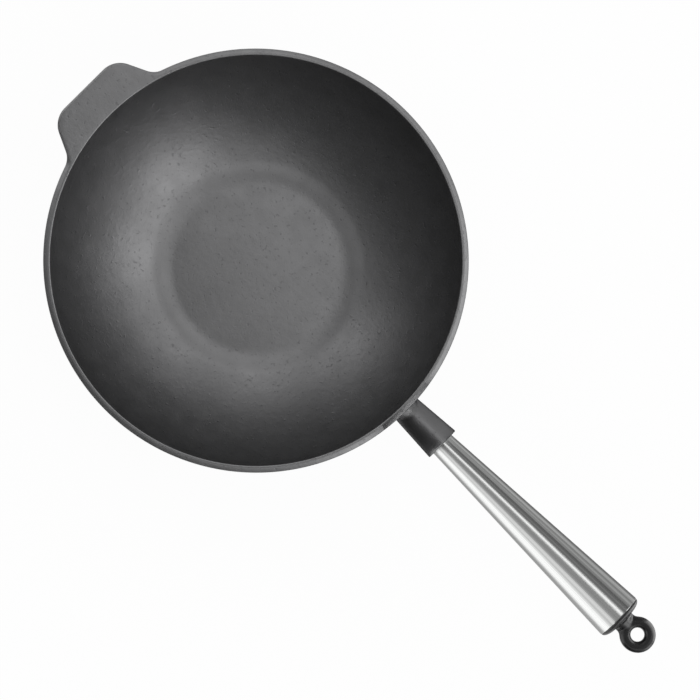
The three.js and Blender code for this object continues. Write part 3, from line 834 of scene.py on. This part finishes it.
bpy.ops.mesh.extrude_region_move(TRANSFORM_OT_translate={"value": (0, 0, EYE_WEB)})
end_edit()
print("eye's plan:", len(eye_plan), "points")

# %% Ring of the eye
SMALL_STEPS = 96
RING_FULLNESS = 0.85
HOLE_ALLOWANCE = 0.3 * MM
ring_inner = EYE_HOLE_RADIUS - HOLE_ALLOWANCE
ring_mid = (EYE_RING_RADIUS + ring_inner) / 2
ring_half = (EYE_RING_RADIUS - ring_inner) / 2
bpy.ops.mesh.primitive_cylinder_add(vertices=SMALL_STEPS, radius=ring_mid, depth=4 * EYE_WEB)
hole_cutter = bpy.context.object
hole_cutter.location.x = ring_middle
join_solids(eye, hole_cutter, "DIFFERENCE")
oval = []
for step in range(41):
    c, s = math.cos(math.pi * step / 20), math.sin(math.pi * step / 20)
    out = math.copysign(abs(c) ** RING_FULLNESS, c)
    up = math.copysign(abs(s) ** RING_FULLNESS, s)
    oval.append((ring_mid + ring_half * out, 0.0, EYE_THICKNESS / 2 * up))
ring_tube = draw_outline("ring", oval)
spin_outline((0, 0, 1), SMALL_STEPS)
bpy.ops.transform.translate(value=(ring_middle, 0, 0))
join_solids(eye, ring_tube, "UNION")
print("eye with its ring:", len(eye.data.vertices), "vertices")

# %% Collar of the eye
blend_at = EYE_SEAT + COLLAR_LENGTH
CONE_TIP = 3 * MM
collar_outline = [(EYE_SEAT - 1 * MM, 0.0), (EYE_SEAT - 1 * MM, COLLAR_RADIUS)]
tip_at = blend_at + COLLAR_BLEND
collar_outline += [(blend_at, COLLAR_RADIUS), (tip_at, CONE_TIP), (tip_at, 0.0)]
collar = spun_along("collar", collar_outline, SMALL_STEPS)
join_solids(eye, collar, "UNION")
print("eye with its collar:", len(eye.data.vertices), "vertices")

# %% Melt the eye's joins
EYE_VOXEL = 0.32 * MM
SOFTEN_PASSES = 24
remesh = eye.modifiers.new("remesh", "REMESH")
remesh.mode = "VOXEL"
remesh.voxel_size = EYE_VOXEL
bpy.ops.object.modifier_apply(modifier=remesh.name)
soften = eye.modifiers.new("soften", "SMOOTH")
soften.factor = 0.5
soften.iterations = SOFTEN_PASSES
bpy.ops.object.modifier_apply(modifier=soften.name)
print("remeshed eye:", len(eye.data.vertices), "vertices")

# %% Melt the cone into the ring
JOIN_START, JOIN_END, JOIN_FADE = 1 * MM, 8.5 * MM, 2 * MM
JOIN_PASSES = 100
join_group = eye.vertex_groups.new(name="join")
for vertex in eye.data.vertices:
    past_seat = vertex.co.x - EYE_SEAT
    into_join = min(past_seat - JOIN_START, JOIN_END - past_seat) / JOIN_FADE
    join_group.add([vertex.index], min(1.0, max(0.0, into_join)), "REPLACE")
melt = eye.modifiers.new("melt", "SMOOTH")
melt.factor = 0.5
melt.iterations = JOIN_PASSES
melt.vertex_group = join_group.name
bpy.ops.object.modifier_apply(modifier=melt.name)
eye.vertex_groups.clear()
bpy.ops.object.mode_set(mode="EDIT")
bpy.ops.mesh.select_all(action="SELECT")
collar_face = cap_face + TOUCH
bpy.ops.mesh.bisect(plane_co=(collar_face, 0, 0), plane_no=(1, 0, 0), use_fill=True, clear_inner=True)
bpy.ops.object.mode_set(mode="OBJECT")
print("melted eye:", len(eye.data.vertices), "vertices")

# %% Shank of the eye
EYE_THREAD_DEPTH = 7 * MM
shank_end = EYE_SEAT - SHANK_LENGTH
shank_outline = [(EYE_SEAT + 1 * MM, 0.0), (EYE_SEAT + 1 * MM, SHANK_RADIUS)]
shank_outline += rounded((EYE_SEAT, SHANK_RADIUS), (shank_end, SHANK_RADIUS), (shank_end, 0.0), 0.4 * MM, 4)
shank_outline += [(shank_end, 0.0)]
shank = spun_along("shank", shank_outline, SMALL_STEPS)
join_solids(eye, shank, "UNION")
thread_end = EYE_SEAT + EYE_THREAD_DEPTH
thread_start = shank_end - 1 * MM
thread_outline = [(thread_start, 0.0), (thread_start, hole), (thread_end, hole), (thread_end, 0.0)]
thread_hole = spun_along("thread_hole", thread_outline, SMALL_STEPS)
join_solids(eye, thread_hole, "DIFFERENCE")
place_on_axis(eye)
bpy.ops.object.shade_smooth_by_angle(angle=math.radians(40))
print("finished eye:", len(eye.data.vertices), "vertices")

# %% [markdown]
# ## The tie rod
# A long stud runs through the handle. It is screwed into the casting at one end and into the eye at the
# other. Its threads show when the eye is unscrewed, so they are real: one tooth's outline is wound up by
# the Screw modifier at 1 mm a turn, the same pitch as the joint, and the ends are cut square and capped.

# %% Wind a thread
THREAD_PITCH = 1.0 * MM
THREAD_ROOT = ROD_RADIUS - 0.61 * MM


def wound_thread(name, start, end):
    """A right-handed threaded bar along X, cut square at both ends."""
    tooth = [(0.0, THREAD_ROOT), (0.12, THREAD_ROOT), (0.44, ROD_RADIUS)]
    tooth += [(0.56, ROD_RADIUS), (0.88, THREAD_ROOT), (1.0, THREAD_ROOT)]
    first = start - 2 * THREAD_PITCH
    bar = draw_outline(name, [(first + f * THREAD_PITCH, 0.0, r) for f, r in tooth])
    bpy.ops.object.mode_set(mode="OBJECT")
    winding = bar.modifiers.new("winding", "SCREW")
    winding.axis = "X"
    winding.screw_offset = THREAD_PITCH
    winding.iterations = math.ceil((end - start) / THREAD_PITCH) + 4
    winding.steps = 32
    winding.render_steps = 32
    winding.use_merge_vertices = True
    winding.merge_threshold = MERGE
    bpy.ops.object.modifier_apply(modifier=winding.name)
    bpy.ops.object.mode_set(mode="EDIT")
    bpy.ops.mesh.select_all(action="SELECT")
    bpy.ops.mesh.remove_doubles(threshold=MERGE)
    bpy.ops.mesh.select_all(action="SELECT")
    bpy.ops.mesh.bisect(plane_co=(start, 0, 0), plane_no=(1, 0, 0), use_fill=True, clear_inner=True)
    bpy.ops.mesh.select_all(action="SELECT")
    bpy.ops.mesh.bisect(plane_co=(end, 0, 0), plane_no=(1, 0, 0), use_fill=True, clear_outer=True)
    end_edit()
    return bar


rod_start = seat - ROD_GRIP + CLEARANCE
rod_end = thread_end - CLEARANCE
OUTER_THREAD = 20 * MM
SHANK_OVERLAP = 0.5 * MM
print(f"rod from {rod_start / MM:.2f} to {rod_end / MM:.2f} mm along the axis")

# %% Make the rod
plain_start = rod_start + ROD_GRIP - SHANK_OVERLAP
plain_end = rod_end - OUTER_THREAD + SHANK_OVERLAP
plain = ROD_RADIUS - 0.02 * MM
ROD_CHAMFER = 0.4 * MM
ROD_STEPS = 64
rod_outline = [(plain_start, 0.0), (plain_start, plain - ROD_CHAMFER), (plain_start + ROD_CHAMFER, plain)]
rod_outline += [(plain_end - ROD_CHAMFER, plain), (plain_end, plain - ROD_CHAMFER), (plain_end, 0.0)]
rod = spun_along("tie_rod_stud", rod_outline, ROD_STEPS)
join_solids(rod, wound_thread("inner_thread", rod_start, rod_start + ROD_GRIP), "UNION")
join_solids(rod, wound_thread("outer_thread", rod_end - OUTER_THREAD, rod_end), "UNION")
place_on_axis(rod)
bpy.ops.object.shade_smooth_by_angle(angle=math.radians(25))
print("rod:", len(rod.data.vertices), "vertices")

# %% [markdown]
# ## Bush and washers
# A bush in the nose of the tube keeps the rod in the middle. A flat washer lies on the floor of the cap's
# counterbore, and a split spring washer lies under the eye's shank and travels with it. The first two are
# spun all the way round. The spring washer's outline is spun short of a full turn, and its two ends are
# filled.

# %% Bush and flat washer
def ring_outline(start, end, inner, outer, edge):
    """The outline of a ring with rounded edges, closed, as (along, radius) points."""
    corners = [(start, inner), (start, outer), (end, outer), (end, inner)]
    points = []
    for index, corner in enumerate(corners):
        points += rounded(corners[index - 1], corner, corners[(index + 1) % 4], edge, 4)
    return points + points[:1]


BUSH_LENGTH = 14 * MM
bush_radius = NOSE_RADIUS - SHELL_WALL - CLEARANCE
bush_ring = ring_outline(nose_end, nose_end + BUSH_LENGTH, hole, bush_radius, 0.5 * MM)
bush = turned_piece("nose_bush_turned", bush_ring, SMALL_STEPS, 40)
washer_ring = ring_outline(washer_top - WASHER_THICKNESS, washer_top, hole, WASHER_RADIUS, 0.25 * MM)
washer = turned_piece("flat_washer_stamped", washer_ring, SMALL_STEPS, 40)

# %% Spring washer
SPRING_SPLIT = 1.4 * MM
gap = math.asin(SPRING_SPLIT / 2 / hole)
spring_ring = ring_outline(spring_top - SPRING_THICKNESS, spring_top, hole, SPRING_RADIUS, 0.2 * MM)
spring = draw_outline("spring_washer_split", [(along, 0.0, radius) for along, radius in spring_ring])
bpy.ops.mesh.select_all(action="SELECT")
bpy.ops.mesh.remove_doubles(threshold=MERGE)
bpy.ops.mesh.select_all(action="SELECT")
bpy.ops.mesh.spin(steps=SMALL_STEPS, angle=2 * (math.pi - gap), center=(0, 0, 0), axis=(1, 0, 0))
bpy.ops.mesh.select_all(action="DESELECT")
bpy.ops.mesh.select_non_manifold()
bpy.ops.mesh.fill()
end_edit()
place_on_axis(spring)
bpy.ops.object.shade_smooth_by_angle(angle=math.radians(40))
print("spring washer:", len(spring.data.vertices), "vertices")

# %% [markdown]
# ## Finishes
# Every finish starts from the Principled shader, with noise that is read from Object coordinates, so that
# the grain stays on the piece when it moves. Numbers that are the same all over are set on the shader
# itself.

# %% Finish helper
def new_finish(name, color, metallic, roughness):
    """A new material with its shader, and a bench to add nodes on."""
    finish = bpy.data.materials.new(name)
    finish.use_nodes = True
    tree = finish.node_tree
    shader = tree.nodes["Principled BSDF"]
    shader.inputs["Base Color"].default_value = (*color, 1.0)
    shader.inputs["Metallic"].default_value = metallic
    shader.inputs["Roughness"].default_value = roughness
    place = tree.nodes.new("ShaderNodeTexCoord")
    return finish, tree, shader, place.outputs["Object"]


def add_noise(tree, place, scale, detail, low, high):
    """Noise of a scale in features per metre, spread to run from low to high."""
    noise = tree.nodes.new("ShaderNodeTexNoise")
    noise.inputs["Scale"].default_value = scale
    noise.inputs["Detail"].default_value = detail
    tree.links.new(place, noise.inputs["Vector"])
    spread = tree.nodes.new("ShaderNodeMapRange")
    spread.inputs["From Min"].default_value = 0.3
    spread.inputs["From Max"].default_value = 0.7
    spread.inputs["To Min"].default_value = low
    spread.inputs["To Max"].default_value = high
    tree.links.new(noise.outputs["Fac"], spread.inputs["Value"])
    return spread.outputs["Result"]


def add_bump(tree, shader, height, distance, below=None):
    """A bump of a depth in metres, on top of another bump where one is given."""
    bump = tree.nodes.new("ShaderNodeBump")
    bump.inputs["Distance"].default_value = distance
    tree.links.new(height, bump.inputs["Height"])
    if below:
        tree.links.new(below, bump.inputs["Normal"])
    tree.links.new(bump.outputs["Normal"], shader.inputs["Normal"])
    return bump.outputs["Normal"]


def add_color(tree, shader, share, dark, light):
    """A base colour that runs between two colours."""
    blend = tree.nodes.new("ShaderNodeValToRGB")
    blend.color_ramp.elements[0].color = (*dark, 1.0)
    blend.color_ramp.elements[1].color = (*light, 1.0)
    tree.links.new(share, blend.inputs["Fac"])
    tree.links.new(blend.outputs["Color"], shader.inputs["Base Color"])


print("finish helpers ready")

# %% [markdown]
# ## Seasoned iron
# Baked oil gives the iron a dark, half-glossy skin over the fine grain of the sand mould. The skin shows
# the lamps as broad soft lights, so the iron is a dark rough metal, and a darker edge tint keeps steep
# walls dark. Two sizes of noise make the grain, a wide one makes the skin a little uneven, and the peaks
# of another one are cut out as the small pits that a sand mould leaves.

# %% Seasoned iron
iron, tree, shader, place = new_finish("seasoned_iron", (0.2, 0.2, 0.202), 1.0, 0.4)
shader.inputs["Specular Tint"].default_value = (0.1, 0.1, 0.1, 1.0)
skin = add_noise(tree, place, 90.0, 3.0, 0.38, 0.43)
tree.links.new(skin, shader.inputs["Roughness"])
pits = tree.nodes.new("ShaderNodeMapRange")
pits.inputs["From Min"].default_value = 0.82
pits.inputs["From Max"].default_value = 1.0
tree.links.new(add_noise(tree, place, 420.0, 3.0, 0.0, 1.0), pits.inputs["Value"])
mottle = add_noise(tree, place, 55.0, 4.0, 0.84, 1.0)
pitted = tree.nodes.new("ShaderNodeMath")
pitted.operation = "MULTIPLY_ADD"
pitted.inputs[1].default_value = -0.25
tree.links.new(pits.outputs["Result"], pitted.inputs[0])
tree.links.new(mottle, pitted.inputs[2])
add_color(tree, shader, pitted.outputs[0], (0.08, 0.08, 0.082), (0.212, 0.212, 0.215))
lumps = add_noise(tree, place, 260.0, 3.0, 0.0, 1.0)
below = add_bump(tree, shader, lumps, 0.05 * MM)
grain = add_noise(tree, place, 900.0, 3.0, 0.0, 1.0)
below = add_bump(tree, shader, grain, 0.02 * MM, below)
add_bump(tree, shader, pits.outputs["Result"], -0.08 * MM, below)
print("seasoned iron ready")

# %% [markdown]
# ## Brushed steel
# The tube is brushed along its length, so its grain is noise that is drawn out along the handle. The tube
# widens, so plain coordinates would cut across the brushing. Here the place round the axis is kept as a
# point on a circle of one size, and the streaks then run straight down the taper. They shift the colour,
# the gloss and the surface.

# %% Brushed steel
steel, tree, shader, place = new_finish("brushed_steel", (0.55, 0.555, 0.55), 1.0, 0.2)


def round_handle(tree, place, stretch, radius):
    """Coordinates that wrap round the handle: drawn out along it, and even all round it."""
    lay = tree.nodes.new("ShaderNodeMapping")
    lay.vector_type = "TEXTURE"
    lay.inputs["Location"].default_value = AXIS_START
    lay.inputs["Rotation"].default_value = (0.0, -HANDLE_RISE, 0.0)
    tree.links.new(place, lay.inputs["Vector"])
    along = add_vector(tree, "MULTIPLY", lay.outputs["Vector"], (1.0 / stretch, 0.0, 0.0))
    across = add_vector(tree, "MULTIPLY", lay.outputs["Vector"], (0.0, 1.0, 1.0))
    unit = add_vector(tree, "NORMALIZE", across.outputs["Vector"])
    wrap = add_vector(tree, "MULTIPLY_ADD", unit.outputs["Vector"], (radius, radius, radius))
    tree.links.new(along.outputs["Vector"], wrap.inputs[2])
    return wrap.outputs["Vector"]


brushing = round_handle(tree, place, 500.0, 13 * MM)
bands = add_noise(tree, brushing, 500.0, 3.0, 0.15, 0.24)
tree.links.new(bands, shader.inputs["Roughness"])
streaks = add_noise(tree, brushing, 450.0, 1.0, 0.0, 1.0)
add_bump(tree, shader, streaks, 0.02 * MM)
tints = add_noise(tree, brushing, 900.0, 3.0, 0.0, 1.0)
add_color(tree, shader, tints, (0.44, 0.445, 0.44), (0.66, 0.665, 0.66))
print("brushed steel ready")

# %% [markdown]
# ## The small finishes
# The cap is black moulded plastic with a satin face. The eye is cast and enamelled black, with the slight
# waves of a dipped coat. The rod, bush and washers are steel with a dull zinc plating.

# %% Plastic, enamel and zinc
plastic, tree, shader, place = new_finish("black_plastic", (0.008, 0.008, 0.0085), 0.0, 0.38)
add_bump(tree, shader, add_noise(tree, place, 1500.0, 2.0, 0.0, 1.0), 0.006 * MM)
enamel, tree, shader, place = new_finish("black_enamel", (0.007, 0.007, 0.0075), 0.0, 0.28)
add_bump(tree, shader, add_noise(tree, place, 420.0, 2.0, 0.0, 1.0), 0.02 * MM)
zinc, tree, shader, place = new_finish("zinc_plate", (0.56, 0.57, 0.59), 1.0, 0.36)
tree.links.new(add_noise(tree, place, 300.0, 3.0, 0.30, 0.46), shader.inputs["Roughness"])
print("small finishes ready")

# %% [markdown]
# ## Everything in its place
# Each new piece stands for one measured part, moves with that part's body and takes the finish listed
# beside it in the table.

# %% Stand-ins
STAND_INS = [
    (bowl, "wok_body", "seasoned_iron", iron),
    (handle, "handle_shell", "brushed_steel", steel),
    (cap, "end_cap", "black_plastic", plastic),
    (eye, "hanging_eye", "black_paint", enamel),
    (rod, "tie_rod", "plated_steel", zinc),
    (bush, "nose_bush", "plated_steel", zinc),
    (washer, "flat_washer", "plated_steel", zinc),
    (spring, "spring_washer", "plated_steel", zinc),
]
bodies = frame["record"]["behaviour"]["bodies"]
for piece, node, slot, finish in STAND_INS:
    piece.data.materials.clear()
    piece.data.materials.append(finish)
    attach(piece, next(body for body, nodes in bodies.items() if node in nodes))
    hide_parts(node)
    triangles = sum(len(face.vertices) - 2 for face in piece.data.polygons)
    print(f"{piece.name} stands for {node}: {triangles} triangles")
